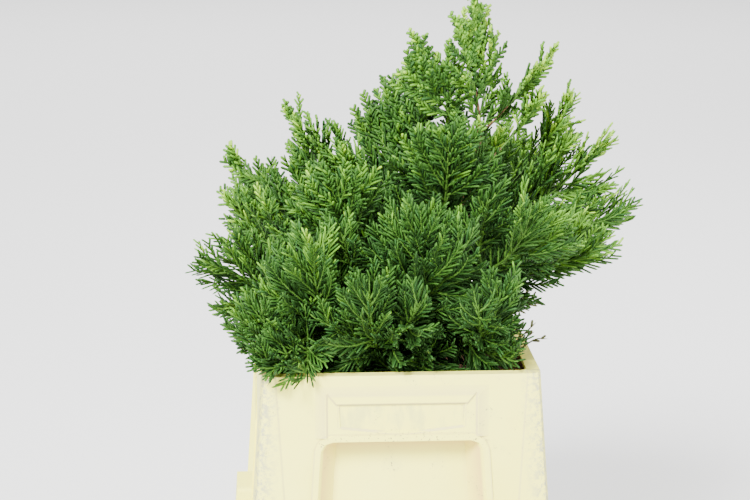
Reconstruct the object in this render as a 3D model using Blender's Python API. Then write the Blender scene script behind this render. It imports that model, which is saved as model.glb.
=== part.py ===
"""Potted hinoki cypress: a young, bushy conifer in a flared plastic nursery container.

Metres, +Z up. The origin is the middle of the container's flat underside, the front faces -Y.
Each limb is one curve: its lower stretch is the bough, and its outer stretch is the stem of a
mass of foliage, so a bough and its mass always meet. Sprays are toothed blades that stand out of
a slim core, and a spray that would leave its own mass's space or touch a limb is skipped.
"""

import math
import random

import bmesh
import bpy
import numpy as np
from mathutils import Matrix, Vector

# Container: a hollow, flared box with a rim turned inwards and a sunk panel in every wall.
HEIGHT = 0.340
TOP_HALF_WIDTH = 0.128
TOP_HALF_DEPTH = 0.178
FLARE = 0.067
WALL = 0.0035
FLOOR = 0.005
RIM_WIDTH = 0.012
RIM_THICKNESS = 0.005
MOUTH_DEPTH = 0.020
CORNER_RADIUS = 0.010
# Sunk panels: how far under the rim they start and end, half width, depth, and raised border.
PANEL_TOP = 0.061
PANEL_BOTTOM = 0.285
PANEL_HALF_WIDTH = 0.073
PANEL_SPREAD = 0.067
PANEL_SLOPE = 0.64
PANEL_DEPTH = 0.022
PANEL_CORNER = 0.009
SIDE_PANEL_EXTRA = 0.040
BORDER_WIDTH = 0.006
BORDER_HEIGHT = 0.0015
# Label pocket above the front and back panels.
POCKET_TOP = 0.022
POCKET_BOTTOM = 0.052
POCKET_HALF_WIDTH = 0.058
POCKET_TAPER = 0.002
POCKET_DEPTH = 0.0015
POCKET_CORNER = 0.003
# Grip lug in the middle of each side wall.
LUG_TOP = 0.154
LUG_BOTTOM = 0.225
LUG_HALF_LENGTH = 0.030
LUG_PROUD = 0.014
LUG_CORNER = 0.006
SIDES = ("front", "right", "back", "left")
# How far a cutter reaches past the face it cuts.
CUT_PAST = 0.010
# Soil, and the gap between pieces that touch.
SOIL_DROP = 0.022
GAP = 0.0003
SOIL_TOP = HEIGHT - SOIL_DROP

# Trunk: its centre line above the soil, its radius at the ground and at the tip, and its taper.
TRUNK_LINE = (
    (0.012, 0.010, SOIL_TOP + GAP),
    (0.012, 0.010, SOIL_TOP + 0.006),
    (0.022, 0.010, 0.365),
    (0.046, 0.008, 0.420),
    (0.082, 0.002, 0.490),
    (0.087, 0.000, 0.540),
    (0.083, 0.000, 0.575),
)
TRUNK_FOOT_RADIUS = 0.0095
TRUNK_TIP_RADIUS = 0.0016
TRUNK_TAPER = 0.75
ROOT_FLARE = 0.55
ROOT_FLARE_HEIGHT = 0.012
# A bough's radius at its fork, as a share of the trunk's and at most, and where its taper ends.
BOUGH_FOOT_SHARE = 0.34
BOUGH_FOOT_LIMIT = 0.0023
BOUGH_TIP_RADIUS = 0.0012
BOUGH_TAPER_SHARE = 0.74

# How a limb travels from its fork to its tip: shares of the reach and of the rise at the bend.
# A drooping limb's bend is DROOP_RISE above its fork.
HABITS = {
    "upright": (0.78, 0.36),
    "spreading": (0.62, 0.46),
    "leaning": (0.50, 0.40),
    "arching": (0.55, 0.80),
    "drooping": (0.70, 0.0),
    "low": (0.97, -0.35),
    "rising": (0.96, 0.26),
}
DROOP_RISE = 0.068

# Every limb: name, tip, height of its fork on the trunk, habit and radius of its foliage.
LIMBS = (
    ("top_left", (0.026, -0.014, 0.632), 0.520, "upright", 0.029),
    ("top_right", (0.163, 0.020, 0.617), 0.532, "spreading", 0.025),
    ("top_side", (0.150, 0.000, 0.572), 0.492, "spreading", 0.029),
    ("centre_high", (0.030, 0.066, 0.604), 0.440, "upright", 0.036),
    ("centre_front", (0.050, -0.085, 0.548), 0.428, "upright", 0.044),
    ("right_high", (0.184, 0.048, 0.566), 0.434, "upright", 0.036),
    ("right_upper", (0.213, 0.012, 0.532), 0.414, "upright", 0.034),
    ("centre_back", (0.004, 0.104, 0.566), 0.408, "upright", 0.046),
    ("left_crest", (-0.052, 0.030, 0.540), 0.400, "upright", 0.036),
    ("back_right", (0.140, 0.155, 0.505), 0.394, "upright", 0.052),
    ("left_front", (-0.056, -0.084, 0.516), 0.392, "rising", 0.044),
    ("right_spread", (0.238, -0.024, 0.468), 0.386, "spreading", 0.045),
    ("front_right", (0.122, -0.135, 0.492), 0.382, "rising", 0.044),
    ("left_high", (-0.102, 0.060, 0.554), 0.386, "leaning", 0.039),
    ("front_centre", (0.018, -0.160, 0.496), 0.372, "low", 0.044),
    ("left_upper", (-0.160, 0.078, 0.505), 0.366, "leaning", 0.037),
    ("right_front", (0.202, -0.092, 0.440), 0.368, "spreading", 0.040),
    ("back_left", (-0.140, 0.160, 0.455), 0.358, "upright", 0.054),
    ("front_left", (-0.082, -0.160, 0.472), 0.356, "low", 0.044),
    ("left_middle", (-0.156, -0.004, 0.480), 0.352, "upright", 0.040),
    ("front_low_right", (0.090, -0.176, 0.432), 0.350, "low", 0.042),
    ("back_low", (0.030, 0.215, 0.440), 0.345, "low", 0.056),
    ("left_spread", (-0.186, -0.092, 0.432), 0.345, "spreading", 0.044),
    ("front_low", (-0.030, -0.180, 0.436), 0.343, "low", 0.042),
    ("right_low", (0.150, 0.050, 0.352), 0.339, "arching", 0.032),
    ("front_corner", (-0.123, -0.196, 0.336), 0.336, "drooping", 0.032),
    ("front_low_left", (-0.128, -0.152, 0.410), 0.332, "low", 0.040),
    ("left_low", (-0.170, -0.015, 0.366), 0.331, "arching", 0.036),
)
LEADER_TIP = (0.082, -0.002, 0.676)
LEADER_RADIUS = 0.036

# Foliage: how many radii of it a limb carries at its end, and the share that stays bare.
FOLIAGE_LENGTH = 4.2
BARE_SHARE = 0.24
# The spindle at the heart of a mass: radius, end, swell along it, and least share of the stem.
CORE_RADIUS = 0.46
CORE_END = 0.80
CORE_SWELL = (0.0, 0.9, 1.0, 0.7, 0.2)
CORE_LEAST = 0.6
# Sprays from the foot to the tip of a stem: number, span, sizes in radii, lean, and the end spray.
SPRAYS_PER_METRE = 142
SPRAY_SPAN = (0.10, 0.80)
SPRAY_SIZE = (2.0, 1.1)
SPRAY_ANGLE = (math.radians(54), math.radians(22))
SPRAY_LIFT = 0.45
SPRAY_JITTER = 0.5
END_SPRAY = 0.34
# A spray's shape, as shares of its length, with one more tooth on each side when it is long.
SPRAY_HALF_WIDTH = 0.32
SPRAY_FOOT = 0.03
SPRAY_TEETH = 2
LONG_SPRAY = 0.050
TOOTH_SHIFT = 0.07
TOOTH_BACK = 0.10
TOOTH_NOTCH = 0.36
SPRAY_THICKNESS = 0.0018
SHRINKS = (1.0, 0.75, 0.55)
GOLDEN_ANGLE = math.radians(137.5)
# Clearances of the foliage, and how far it may hang under the rim.
SPACE_MARGIN = 0.0022
LIMB_MARGIN = 0.0020
CONTAINER_MARGIN = 0.004
OVERHANG = 0.030
CROWN_HEART = Vector((0.02, 0.01, 0.38))
CURVE_SAMPLES = 15
BOUGH_SAMPLES = 4
STEM_SAMPLES = 9
SPACE_SAMPLES = 25
LIMB_SAMPLES = 31
# A last short stretch that keeps the ends of a bough and its stem square to each other.
SQUARE_END = 0.001
UP = Vector((0.0, 0.0, 1.0))


def clear_scene():
    for obj in list(bpy.data.objects):
        bpy.data.objects.remove(obj, do_unlink=True)


def make_collection(name):
    collection = bpy.data.collections.new(name)
    bpy.context.scene.collection.children.link(collection)
    return collection


def make_material(name, colour, roughness):
    material = bpy.data.materials.new(name)
    material.use_nodes = True
    shader = material.node_tree.nodes["Principled BSDF"]
    shader.inputs["Base Color"].default_value = (*colour, 1.0)
    shader.inputs["Roughness"].default_value = roughness
    shader.inputs["Metallic"].default_value = 0.0
    return material


def mesh_object(name, mesh, collection, material=None):
    obj = bpy.data.objects.new(name, mesh)
    collection.objects.link(obj)
    if material:
        mesh.materials.append(material)
    return obj


def object_from_bmesh(name, bm, collection, material=None):
    bmesh.ops.recalc_face_normals(bm, faces=bm.faces)
    mesh = bpy.data.meshes.new(name)
    bm.to_mesh(mesh)
    bm.free()
    return mesh_object(name, mesh, collection, material)


def hide_helper(obj):
    obj.hide_render = True
    obj.display_type = "WIRE"
    return obj


def boolean(obj, other, operation):
    modifier = obj.modifiers.new(other.name, "BOOLEAN")
    modifier.operation = operation
    modifier.object = other
    modifier.solver = "EXACT"


# Container


def shaped_block(name, corners, edge_radius, collection):
    """A cube whose eight corners are placed by corners(x, y, z) of -1 or 1, with its edges along the
    local Y rounded when edge_radius is given."""
    bm = bmesh.new()
    bmesh.ops.create_cube(bm, size=2.0)
    rounded = [
        edge
        for edge in bm.edges
        if edge.verts[0].co.x == edge.verts[1].co.x and edge.verts[0].co.z == edge.verts[1].co.z
    ]
    for vert in bm.verts:
        vert.co = corners(*(round(value) for value in vert.co))
    bmesh.ops.recalc_face_normals(bm, faces=bm.faces)
    if edge_radius:
        bmesh.ops.bevel(
            bm,
            geom=rounded,
            offset=edge_radius,
            segments=2,
            profile=0.5,
            affect="EDGES",
            material=-1,
        )
    return object_from_bmesh(name, bm, collection)


def flared_box(name, inset, z_low, z_high, radius, collection):
    """A box that follows the container's walls, inset from them by a constant amount."""

    def corner(x, z, y):
        drop = HEIGHT - (z_high if z > 0 else z_low)
        half_width = TOP_HALF_WIDTH + FLARE * drop - inset
        half_depth = TOP_HALF_DEPTH + FLARE * drop - inset
        return Vector((x * half_width, y * half_depth, HEIGHT - drop))

    return shaped_block(name, corner, radius, collection)


def wall_block(name, side, outline, slope, proud, depth, radius, collection):
    """A block let into one wall, from proud of its face to depth behind it.

    outline is (half width at the top, half width at the bottom, top, bottom), measured on the
    wall's face, the last two as drops under the rim. Its sides slope in towards the back.
    """
    turn = {"front": 0, "right": 90, "back": 180, "left": 270}[side]
    half_extent = TOP_HALF_DEPTH if side in ("front", "back") else TOP_HALF_WIDTH
    top_half, bottom_half, top, bottom = outline
    rotation = Matrix.Rotation(math.radians(turn), 3, "Z")

    def corner(x, y, z):
        drop = top if z > 0 else bottom
        half = top_half if z > 0 else bottom_half
        inward = depth if y > 0 else -proud
        half -= slope * inward
        return rotation @ Vector((x * half, -(half_extent + FLARE * drop) + inward, HEIGHT - drop))

    return shaped_block(name, corner, radius, collection)


def panel_block(name, side, grow, proud, depth, collection):
    """The sunk panel's shape, grown by a border. The panels in the long walls are wider."""
    half_top = PANEL_HALF_WIDTH + grow + (SIDE_PANEL_EXTRA if side in ("left", "right") else 0.0)
    half_bottom = half_top + PANEL_SPREAD * (PANEL_BOTTOM - PANEL_TOP)
    outline = (half_top, half_bottom, PANEL_TOP - grow, PANEL_BOTTOM + grow)
    return wall_block(
        name, side, outline, PANEL_SLOPE, proud, depth, PANEL_CORNER + grow, collection
    )


def make_container(parts, cutters, material):
    body = flared_box("container", 0.0, 0.0, HEIGHT, CORNER_RADIUS, parts)
    body.data.materials.append(material)
    inner_radius = CORNER_RADIUS - WALL
    cavity = hide_helper(
        flared_box("cavity", WALL, FLOOR, HEIGHT - RIM_THICKNESS, inner_radius, cutters)
    )
    mouth = hide_helper(
        flared_box("mouth", RIM_WIDTH, HEIGHT - MOUTH_DEPTH, HEIGHT + CUT_PAST, inner_radius, cutters)
    )
    for side in SIDES:
        border = hide_helper(
            panel_block("border_" + side, side, BORDER_WIDTH, BORDER_HEIGHT, WALL / 2, cutters)
        )
        boolean(body, border, "UNION")
    for side in SIDES:
        panel = hide_helper(panel_block("panel_" + side, side, 0.0, CUT_PAST, PANEL_DEPTH, cutters))
        boolean(body, panel, "DIFFERENCE")
        shell_depth = PANEL_DEPTH + WALL
        shell = hide_helper(panel_block("shell_" + side, side, WALL, CUT_PAST, shell_depth, cutters))
        boolean(cavity, shell, "DIFFERENCE")
    for side in ("front", "back"):
        pocket_foot = POCKET_HALF_WIDTH - POCKET_TAPER
        outline = (POCKET_HALF_WIDTH, pocket_foot, POCKET_TOP, POCKET_BOTTOM)
        pocket = hide_helper(
            wall_block(
                "pocket_" + side, side, outline, 0.0, CUT_PAST, POCKET_DEPTH, POCKET_CORNER, cutters
            )
        )
        boolean(body, pocket, "DIFFERENCE")
    for side in ("left", "right"):
        outline = (LUG_HALF_LENGTH, LUG_HALF_LENGTH, LUG_TOP, LUG_BOTTOM)
        lug_depth = PANEL_DEPTH + WALL / 2
        lug = hide_helper(
            wall_block("lug_" + side, side, outline, 0.0, LUG_PROUD, lug_depth, LUG_CORNER, cutters)
        )
        boolean(body, lug, "UNION")
    boolean(body, cavity, "DIFFERENCE")
    boolean(body, mouth, "DIFFERENCE")


def make_soil(parts, cutters, material):
    soil = flared_box("soil", WALL + GAP, FLOOR + GAP, SOIL_TOP, CORNER_RADIUS - WALL, parts)
    soil.data.materials.append(material)
    for side in SIDES:
        clear = WALL + GAP
        notch = hide_helper(
            panel_block("notch_" + side, side, clear, CUT_PAST, PANEL_DEPTH + clear, cutters)
        )
        boolean(soil, notch, "DIFFERENCE")


# Limbs


class Line:
    """A smooth centre line with a radius at each sample."""

    def __init__(self, points, radii):
        self.points = [Vector(point) for point in points]
        self.radii = list(radii)
        steps = [(b - a).length for a, b in zip(self.points, self.points[1:])]
        self.lengths = [sum(steps[:i]) for i in range(len(self.points))]
        self.length = self.lengths[-1]

    def _place(self, distance):
        distance = min(max(distance, 0.0), self.length)
        for i in range(len(self.points) - 1):
            if distance <= self.lengths[i + 1]:
                span = self.lengths[i + 1] - self.lengths[i]
                return i, (distance - self.lengths[i]) / span
        return len(self.points) - 2, 1.0

    def at(self, distance):
        i, share = self._place(distance)
        return self.points[i].lerp(self.points[i + 1], share)

    def radius(self, distance):
        i, share = self._place(distance)
        return self.radii[i] * (1 - share) + self.radii[i + 1] * share

    def direction(self, distance):
        i, _ = self._place(distance)
        return (self.points[i + 1] - self.points[i]).normalized()

    def part(self, stops):
        """The line through the points at the given distances."""
        return Line([self.at(s) for s in stops], [self.radius(s) for s in stops])


def even_stops(start, end, count):
    return [start + (end - start) * i / (count - 1) for i in range(count)]


def smooth_points(points, per_span):
    """A Catmull-Rom curve through the points."""
    points = [Vector(point) for point in points]
    ends = [points[0] * 2 - points[1], *points, points[-1] * 2 - points[-2]]
    made = []
    for a, b, c, d in zip(ends, ends[1:], ends[2:], ends[3:]):
        for step in range(per_span):
            t = step / per_span
            made.append(
                0.5 * (2 * b + (c - a) * t + (2 * a - 5 * b + 4 * c - d) * t * t
                       + (3 * b - a - 3 * c + d) * t * t * t)
            )
    return [*made, points[-1]]


def trunk_line():
    """The trunk's centre line. Its foot flares to the roots, and its first stretch is upright."""
    points = [Vector(TRUNK_LINE[0]), *smooth_points(TRUNK_LINE[1:], 3)]
    rise = points[-1].z - points[0].z
    radii = []
    for point in points:
        height = point.z - points[0].z
        share = (height / rise) ** TRUNK_TAPER
        radius = TRUNK_FOOT_RADIUS + (TRUNK_TIP_RADIUS - TRUNK_FOOT_RADIUS) * share
        radii.append(radius * (1 + ROOT_FLARE * math.exp(-height / ROOT_FLARE_HEIGHT)))
    return Line(points, radii)


def fork_distance(trunk, height):
    """How far along the trunk a height is."""
    low, high = 0.0, trunk.length
    for _ in range(30):
        middle = (low + high) / 2
        if trunk.at(middle).z < height:
            low = middle
        else:
            high = middle
    return low


def limb_line(trunk, tip, fork_height, habit):
    """A limb's whole line, from the trunk's axis at the fork to the tip of its foliage."""
    distance = fork_distance(trunk, fork_height)
    start, tip = trunk.at(distance), Vector(tip)
    out_share, rise_share = HABITS[habit]
    reach, rise = tip - start, tip.z - start.z
    bend = start + Vector((reach.x * out_share, reach.y * out_share, rise * rise_share))
    if habit == "drooping":
        bend.z = start.z + DROOP_RISE
    foot = min(trunk.radius(distance) * BOUGH_FOOT_SHARE, BOUGH_FOOT_LIMIT)
    points, radii = [], []
    for i in range(CURVE_SAMPLES):
        t = i / (CURVE_SAMPLES - 1)
        points.append(start * (1 - t) ** 2 + bend * 2 * t * (1 - t) + tip * t * t)
        radii.append(foot + (BOUGH_TIP_RADIUS - foot) * min(1.0, t / BOUGH_TAPER_SHARE))
    return Line(points, radii)


def tube(name, line, sides, collection, extra=0.0):
    """A closed round tube along a line, made from a bevelled curve, as a mesh object."""
    curve = bpy.data.curves.new(name, "CURVE")
    curve.dimensions = "3D"
    curve.bevel_depth = 1.0
    curve.bevel_resolution = (sides - 4) // 2
    curve.use_fill_caps = True
    spline = curve.splines.new("POLY")
    spline.points.add(len(line.points) - 1)
    for target, point, radius in zip(spline.points, line.points, line.radii):
        target.co = (*point, 1.0)
        target.radius = radius + extra
    guide = bpy.data.objects.new(name + "_curve", curve)
    collection.objects.link(guide)
    graph = bpy.context.evaluated_depsgraph_get()
    mesh = bpy.data.meshes.new_from_object(guide.evaluated_get(graph))
    mesh.name = name
    bm = bmesh.new()
    bm.from_mesh(mesh)
    bmesh.ops.remove_doubles(bm, verts=bm.verts, dist=1e-6)
    bmesh.ops.recalc_face_normals(bm, faces=bm.faces)
    bm.to_mesh(mesh)
    bm.free()
    mesh.materials.clear()
    made = bpy.data.objects.new(name, mesh)
    made.matrix_world = guide.matrix_world
    collection.objects.link(made)
    bpy.data.objects.remove(guide, do_unlink=True)
    return made


# Foliage


class Mass:
    """A mass of foliage: its own stem line, radius, and the sprays that stand out of it."""

    def __init__(self, name, line, radius, seed):
        self.name = name
        self.line = line
        self.radius = radius
        self.random = random.Random(seed)
        self.samples = np.array([line.at(s) for s in even_stops(0.0, line.length, SPACE_SAMPLES)])


def core_line(mass, masses, limbs):
    """A spindle round the inner part of the mass's stem, slimmer wherever a neighbour comes close."""
    stops = even_stops(SQUARE_END, mass.line.length * CORE_END, len(CORE_SWELL))
    core = mass.line.part([0.0, *stops])
    stem = mass.line.radius(0.0)
    points = np.array(core.points)
    room = np.full(len(points), mass.radius)
    for other in masses:
        if other is not mass:
            room = np.minimum(room, distances(points, other.samples) / 2 - SPACE_MARGIN)
    for centres, radii in limbs:
        gaps = np.sqrt(((points[:, None, :] - centres[None, :, :]) ** 2).sum(axis=2)) - radii
        room = np.minimum(room, gaps.min(axis=1) - LIMB_MARGIN)
    heights = points[:, 2]
    ground = np.where(heights > HEIGHT, HEIGHT, SOIL_TOP)
    room = np.minimum(room, heights - ground - LIMB_MARGIN)
    core.radii = [
        max(stem * CORE_LEAST, min(mass.radius * CORE_RADIUS * share, limit))
        for share, limit in zip((0.0, *CORE_SWELL), room)
    ]
    core.radii[0] = core.radii[1] = stem
    return core


def spray_frame(mass, place, turn, angle):
    """(foot, direction, face normal) of a spray that leaves the stem at one place, swept upwards."""
    forward = mass.line.direction(place)
    side = forward.cross(UP)
    side = side.normalized() if side.length > 1e-3 else Vector((1.0, 0.0, 0.0))
    around = Matrix.Rotation(turn, 3, forward) @ side
    direction = forward * math.cos(angle) + around * math.sin(angle)
    if angle:
        direction += UP * SPRAY_LIFT * (1.0 - forward.z)
    direction.normalize()
    foot = mass.line.at(place)
    outward = (foot - CROWN_HEART).normalized()
    jitter = Vector([mass.random.uniform(-SPRAY_JITTER, SPRAY_JITTER) for _ in range(3)])
    normal = outward + UP * 0.25 + jitter
    normal = (normal - direction * normal.dot(direction)).normalized()
    return foot, direction, normal


def spray_outline(length, teeth):
    """The toothed outline of a spray in its own plane: forward-pointing teeth on both sides."""
    half_width = length * SPRAY_HALF_WIDTH
    flanks = []
    for side, shift in ((1, 0.0), (-1, TOOTH_SHIFT)):
        flank = [(0.0, side * SPRAY_FOOT * length)]
        for k in range(teeth):
            share = (k + 1.0) / (teeth + 0.6) - shift
            spread = half_width * math.sin(math.pi * min(1.0, 0.32 + 0.55 * share))
            flank.append((length * share, side * spread))
            flank.append((length * (share - TOOTH_BACK), side * spread * TOOTH_NOTCH))
        flanks.append(flank)
    left, right = flanks
    return [*left, (length, 0.0), *reversed(right)]


def sample_blade(outline, foot, direction, lateral):
    """Points over a blade for the space test: its outline, and the lines from the rib to each point."""
    points = []
    for u, v in outline:
        for share in (0.33, 0.66, 1.0):
            points.append(foot + direction * (u - abs(v) * 0.6 * (1 - share)) + lateral * v * share)
    return np.array(points)


def distances(points, samples):
    return np.sqrt(((points[:, None, :] - samples[None, :, :]) ** 2).sum(axis=2)).min(axis=1)


def clear_of_container(points):
    """True where the points keep off the container and the soil."""
    x, y, z = np.abs(points[:, 0]), np.abs(points[:, 1]), points[:, 2]
    drop = np.maximum(HEIGHT - z, 0.0)
    margin = CONTAINER_MARGIN
    inside = (x < TOP_HALF_WIDTH - RIM_WIDTH - margin) & (y < TOP_HALF_DEPTH - RIM_WIDTH - margin)
    outside = (x > TOP_HALF_WIDTH + FLARE * drop + margin) | (y > TOP_HALF_DEPTH + FLARE * drop + margin)
    over_soil = inside & (z > SOIL_TOP + margin)
    return (z > HEIGHT + margin) | over_soil | (outside & (z > HEIGHT - OVERHANG))


def fits(points, mass, masses, limbs):
    """True if a blade stays in its own mass's space and clear of every limb and the container."""
    own = distances(points, mass.samples) / mass.radius
    for other in masses:
        if other is mass:
            continue
        away = distances(points, other.samples) / other.radius
        if ((away - own) * min(mass.radius, other.radius) < SPACE_MARGIN).any():
            return False
    for centres, radii in limbs:
        gaps = np.sqrt(((points[:, None, :] - centres[None, :, :]) ** 2).sum(axis=2)) - radii
        if (gaps < LIMB_MARGIN).any():
            return False
    return bool(clear_of_container(points).all())


def blade_object(name, outline, foot, direction, normal, collection):
    """A toothed blade of even thickness, extruded from its outline."""
    lateral = normal.cross(direction)
    bm = bmesh.new()
    base = foot - normal * (SPRAY_THICKNESS / 2)
    verts = [bm.verts.new(base + direction * u + lateral * v) for u, v in outline]
    face = bm.faces.new(verts)
    grown = bmesh.ops.extrude_face_region(bm, geom=[face])
    lifted = [item for item in grown["geom"] if isinstance(item, bmesh.types.BMVert)]
    bmesh.ops.translate(bm, verts=lifted, vec=normal * SPRAY_THICKNESS)
    return object_from_bmesh(name, bm, collection)


def between(pair, share):
    return pair[0] + (pair[1] - pair[0]) * share


def spray_plan(mass):
    """The sprays that a mass tries, in order: (place, turn, angle, length)."""
    line, chance = mass.line, mass.random
    plan = [(line.length * (1.0 - END_SPRAY), 0.0, 0.0, line.length * END_SPRAY)]
    turn = chance.uniform(0, 2 * math.pi)
    count = int(mass.radius * SPRAYS_PER_METRE)
    for i in range(count):
        share = between(SPRAY_SPAN, (i + chance.uniform(0.2, 0.8)) / count)
        angle = between(SPRAY_ANGLE, share) * chance.uniform(0.9, 1.1)
        length = mass.radius * between(SPRAY_SIZE, share) * chance.uniform(0.85, 1.1)
        plan.append((line.length * share, turn, angle, length))
        turn += GOLDEN_ANGLE
    return plan


def keep_outer_shell(mesh):
    """Drops loose scraps and sealed hollows, keeping the largest connected shell."""
    bm = bmesh.new()
    bm.from_mesh(mesh)
    left, shells = set(bm.verts), []
    while left:
        seed = left.pop()
        shell, front = {seed}, [seed]
        while front:
            for edge in front.pop().link_edges:
                for vert in edge.verts:
                    if vert in left:
                        left.discard(vert)
                        shell.add(vert)
                        front.append(vert)
        shells.append(shell)
    largest = max(shells, key=len)
    scraps = [vert for shell in shells if shell is not largest for vert in shell]
    bmesh.ops.delete(bm, geom=scraps, context="VERTS")
    bm.to_mesh(mesh)
    bm.free()


def make_mass(mass, masses, limbs, parts, material):
    """One solid: the core and every spray that fits, at a smaller size if need be, in one union."""
    pieces = bpy.data.collections.new("sprays_" + mass.name)
    bpy.context.scene.collection.children.link(pieces)
    core = tube("foliage_" + mass.name, core_line(mass, masses, limbs), 6, parts)
    for i, (place, turn, angle, length) in enumerate(spray_plan(mass)):
        foot, direction, normal = spray_frame(mass, place, turn, angle)
        teeth = SPRAY_TEETH + (1 if length > LONG_SPRAY else 0)
        for shrink in SHRINKS:
            outline = spray_outline(length * shrink, teeth)
            lateral = normal.cross(direction)
            points = sample_blade(outline, foot, direction, lateral)
            if fits(points, mass, masses, limbs):
                blade_object(f"spray_{mass.name}_{i}", outline, foot, direction, normal, pieces)
                break
    union = core.modifiers.new("sprays", "BOOLEAN")
    union.operation = "UNION"
    union.operand_type = "COLLECTION"
    union.collection = pieces
    union.solver = "MANIFOLD"
    graph = bpy.context.evaluated_depsgraph_get()
    mesh = bpy.data.meshes.new_from_object(core.evaluated_get(graph))
    core.modifiers.clear()
    core.data = mesh
    mesh.name = core.name
    keep_outer_shell(mesh)
    mesh.materials.clear()
    mesh.materials.append(material)
    for obj in list(pieces.objects):
        bpy.data.objects.remove(obj, do_unlink=True)
    bpy.data.collections.remove(pieces)


def build():
    clear_scene()
    parts = make_collection("potted_hinoki_cypress")
    cutters = make_collection("cutters")
    plastic = make_material("cream_plastic", (0.83, 0.78, 0.60), 0.45)
    earth = make_material("soil", (0.060, 0.035, 0.018), 0.95)
    bark = make_material("bark", (0.200, 0.105, 0.050), 0.85)
    green = make_material("foliage", (0.055, 0.160, 0.025), 0.60)

    make_container(parts, cutters, plastic)
    make_soil(parts, cutters, earth)

    trunk = trunk_line()
    trunk_object = tube("trunk", trunk, 8, parts)
    trunk_object.data.materials.append(bark)
    clearance = hide_helper(tube("trunk_clearance", trunk, 8, cutters, extra=GAP))

    masses, limbs, boughs = [], [], []
    leader_start = trunk.points[-1] + trunk.direction(trunk.length) * GAP
    leader = Line(
        smooth_points((leader_start, leader_start.lerp(Vector(LEADER_TIP), 0.5), LEADER_TIP), 4),
        [TRUNK_TIP_RADIUS] * 9,
    )
    masses.append(Mass("leader", leader, LEADER_RADIUS, 0))
    for seed, (name, tip, fork_height, habit, radius) in enumerate(LIMBS, start=1):
        line = limb_line(trunk, tip, fork_height, habit)
        entry = max(line.length - radius * FOLIAGE_LENGTH, line.length * BARE_SHARE)
        bough = line.part([*even_stops(0.0, entry - SQUARE_END, BOUGH_SAMPLES), entry])
        boughs.append((name, bough))
        limbs.append(bough)
        stem = line.part(even_stops(entry + GAP, line.length, STEM_SAMPLES))
        masses.append(Mass(name, stem, radius, seed))
    limbs.append(trunk)
    samples = []
    for line in limbs:
        stops = even_stops(0.0, line.length, LIMB_SAMPLES)
        centres = np.array([line.at(stop) for stop in stops])
        samples.append((centres, np.array([line.radius(stop) for stop in stops])))

    for name, bough in boughs:
        obj = tube("bough_" + name, bough, 6, parts)
        obj.data.materials.append(bark)
        boolean(obj, clearance, "DIFFERENCE")
    for mass in masses:
        make_mass(mass, masses, samples, parts, green)


build()
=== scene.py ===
import math
import random

import bmesh
import bpy
import numpy as np
from mathutils import Matrix, Vector, noise


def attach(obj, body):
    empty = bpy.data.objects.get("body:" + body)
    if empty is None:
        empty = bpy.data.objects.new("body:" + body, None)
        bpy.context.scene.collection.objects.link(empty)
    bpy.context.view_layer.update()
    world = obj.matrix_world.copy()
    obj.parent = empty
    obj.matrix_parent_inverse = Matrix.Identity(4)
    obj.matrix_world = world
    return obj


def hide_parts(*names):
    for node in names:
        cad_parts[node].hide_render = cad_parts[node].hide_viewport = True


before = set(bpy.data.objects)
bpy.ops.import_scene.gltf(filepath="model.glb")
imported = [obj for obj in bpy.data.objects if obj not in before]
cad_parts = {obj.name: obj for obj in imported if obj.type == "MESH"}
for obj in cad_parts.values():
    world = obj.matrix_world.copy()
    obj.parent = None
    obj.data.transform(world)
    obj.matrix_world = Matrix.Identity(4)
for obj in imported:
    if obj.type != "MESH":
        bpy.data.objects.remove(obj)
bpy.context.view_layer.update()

# Container and soil, in metres, as the solids have them.
HEIGHT = 0.340
TOP_HALF_WIDTH = 0.128
TOP_HALF_DEPTH = 0.178
FLARE = 0.067
RIM_WIDTH = 0.012
WALL = 0.0035
PANEL_TOP = 0.061
PANEL_HALF_WIDTH = 0.073
PANEL_SPREAD = 0.067
PANEL_CORNER = 0.009
CREASE_INSET = 0.0127
CREASE_SLOPE = 0.064
CREASE_WIDTH = 0.0012
SOIL_TOP = 0.318
GAP = 0.0003

# Trunk and limbs, grown by the same rule as the solids.
TRUNK_LINE = (
    (0.012, 0.010, SOIL_TOP + GAP),
    (0.012, 0.010, SOIL_TOP + 0.006),
    (0.022, 0.010, 0.365),
    (0.046, 0.008, 0.420),
    (0.082, 0.002, 0.490),
    (0.087, 0.000, 0.540),
    (0.083, 0.000, 0.575),
)
TRUNK_FOOT_RADIUS = 0.0095
TRUNK_TIP_RADIUS = 0.0016
ROOT_FLARE = 0.55
ROOT_FLARE_HEIGHT = 0.012
BOUGH_FOOT_SHARE = 0.34
BOUGH_FOOT_LIMIT = 0.0023
BOUGH_TIP_RADIUS = 0.0012
HABITS = {
    "upright": (0.78, 0.36),
    "spreading": (0.62, 0.46),
    "leaning": (0.50, 0.40),
    "arching": (0.55, 0.80),
    "drooping": (0.70, 0.0),
    "low": (0.97, -0.35),
    "rising": (0.96, 0.26),
}
DROOP_RISE = 0.068
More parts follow.
